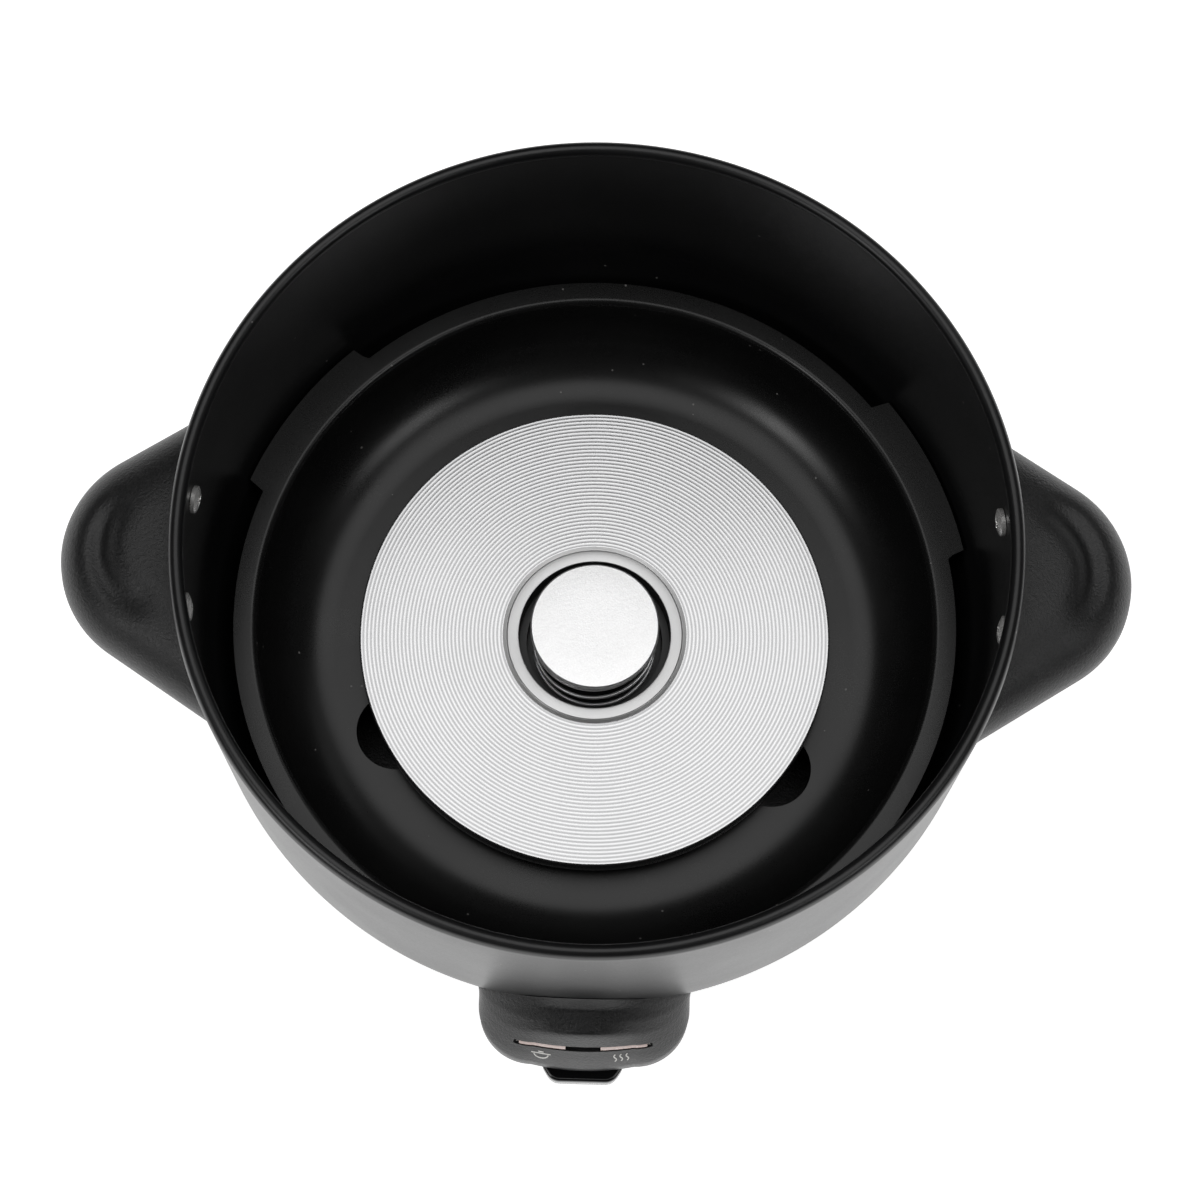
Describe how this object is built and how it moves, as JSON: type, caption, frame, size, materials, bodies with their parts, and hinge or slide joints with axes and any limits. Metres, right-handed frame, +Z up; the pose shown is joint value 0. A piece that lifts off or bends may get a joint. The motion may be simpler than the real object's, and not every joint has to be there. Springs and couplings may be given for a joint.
{
  "type": "rice cooker base",
  "caption": "Drum-shaped electric rice cooker base with heating plate, spring-loaded sensor, cook lever, two side handles and rear inlet; pot and lid removed.",
  "frame": {"origin": "where the drum's axis meets the plane under the feet", "axes": "+Z up, the control box faces -Y, the power inlet faces +Y, handles along X"},
  "size_m": [0.312, 0.2593, 0.165],
  "materials": {
    "black_sheet": "satin black enamel on drawn steel",
    "liner_black": "semi-gloss black coating",
    "black_plastic": "fine-textured moulding",
    "gloss_black": "gloss moulding",
    "rubber": "matte",
    "turned_aluminium": "turned with fine concentric grooves",
    "cap_aluminium": "fine blasted",
    "zinc_steel": "zinc-plated stamping",
    "spring_steel": "bright wire",
    "screw_steel": "bright plated",
    "sheath_steel": "heat-tinted sheath",
    "ferrite_grey": "sintered",
    "brass": "plain brass",
    "tin_plate": "tinned",
    "mica": "mica board",
    "white_plastic": "heat-resistant moulding",
    "switch_plastic": "moulded case",
    "red_plastic": "plunger",
    "window_rose": "translucent window",
    "lamp_glass": "clear lamp",
    "resistor_tan": "coated",
    "wire_white": "silicone insulation",
    "wire_red": "silicone insulation",
    "wire_blue": "silicone insulation",
    "wire_green": "silicone insulation"
  },
  "bodies": {
    "base": {"outer_shell": "black_sheet", "base_cover": "black_plastic", "feet": "rubber", "liner_posts": "zinc_steel", "base_screws": "screw_steel", "inner_liner": "liner_black", "heating_plate": "turned_aluminium", "plate_spacers": "zinc_steel", "plate_screws": "screw_steel", "heating_element": "sheath_steel", "element_pins": "tin_plate", "keep_warm_heater": "mica", "heater_clamp": "zinc_steel", "thermal_fuse": "tin_plate", "fuse_clip": "zinc_steel", "sensor_bracket": "black_sheet", "bracket_screws": "screw_steel", "cap_spring": "spring_steel", "switch_frame": "zinc_steel", "frame_screws": "screw_steel", "pivot_pin": "screw_steel", "pin_clips": "spring_steel", "switch_case": "switch_plastic", "switch_screws": "screw_steel", "switch_terminals": "tin_plate", "control_box": "black_plastic", "box_screws": "screw_steel", "cook_window": "window_rose", "warm_window": "window_rose", "cook_lamp": "lamp_glass", "warm_lamp": "lamp_glass", "lamp_holder": "white_plastic", "lamp_resistors": "resistor_tan", "handle_right": "black_plastic", "handle_left": "black_plastic", "handle_screws": "screw_steel", "inlet_socket": "black_plastic", "inlet_pins": "tin_plate", "earth_tag": "tin_plate", "lead_live": "wire_red", "lead_fuse": "wire_white", "lead_neutral": "wire_blue", "lead_switched": "wire_white", "lead_lamps": "wire_white", "lead_earth": "wire_green"},
    "sensor": {"sensor_cap": "cap_aluminium", "sensor_case": "zinc_steel", "ferrite": "ferrite_grey"},
    "lifter": {"pull_rod": "zinc_steel", "magnet_cup": "zinc_steel", "magnet": "ferrite_grey", "rod_collars": "brass", "magnet_spring": "spring_steel"},
    "lever": {"switch_lever": "zinc_steel", "lever_key": "gloss_black"},
    "plunger": {"switch_plunger": "red_plastic"}
  },
  "joints": [
    {"name": "sensor_press", "type": "slide", "parent": "base", "child": "sensor", "axis": [0, 0, 1], "range_m": [-0.008, 0], "stiffness_N_per_m": 450, "springref_m": 0.004, "deforming": ["cap_spring"]},
    {"name": "cook_lever", "type": "hinge", "parent": "base", "child": "lever", "pos_m": [0, -0.058, 0.025], "axis": [1, 0, 0], "range_deg": [0, 6], "stiffness_Nm_per_rad": 1.2, "springref_deg": -8.59},
    {"name": "lifter_slide", "type": "slide", "parent": "base", "child": "lifter", "axis": [0, 0, 1], "range_m": [0, 0.00617], "deforming": ["magnet_spring"]},
    {"name": "plunger_slide", "type": "slide", "parent": "base", "child": "plunger", "axis": [0, 0, 1], "range_m": [-0.00219, 0]}
  ],
  "couplings": [
    {"joint": "lifter_slide", "follows": "cook_lever", "m_per_rad": 0.058},
    {"joint": "plunger_slide", "follows": "cook_lever", "m_per_rad": -0.02}
  ]
}
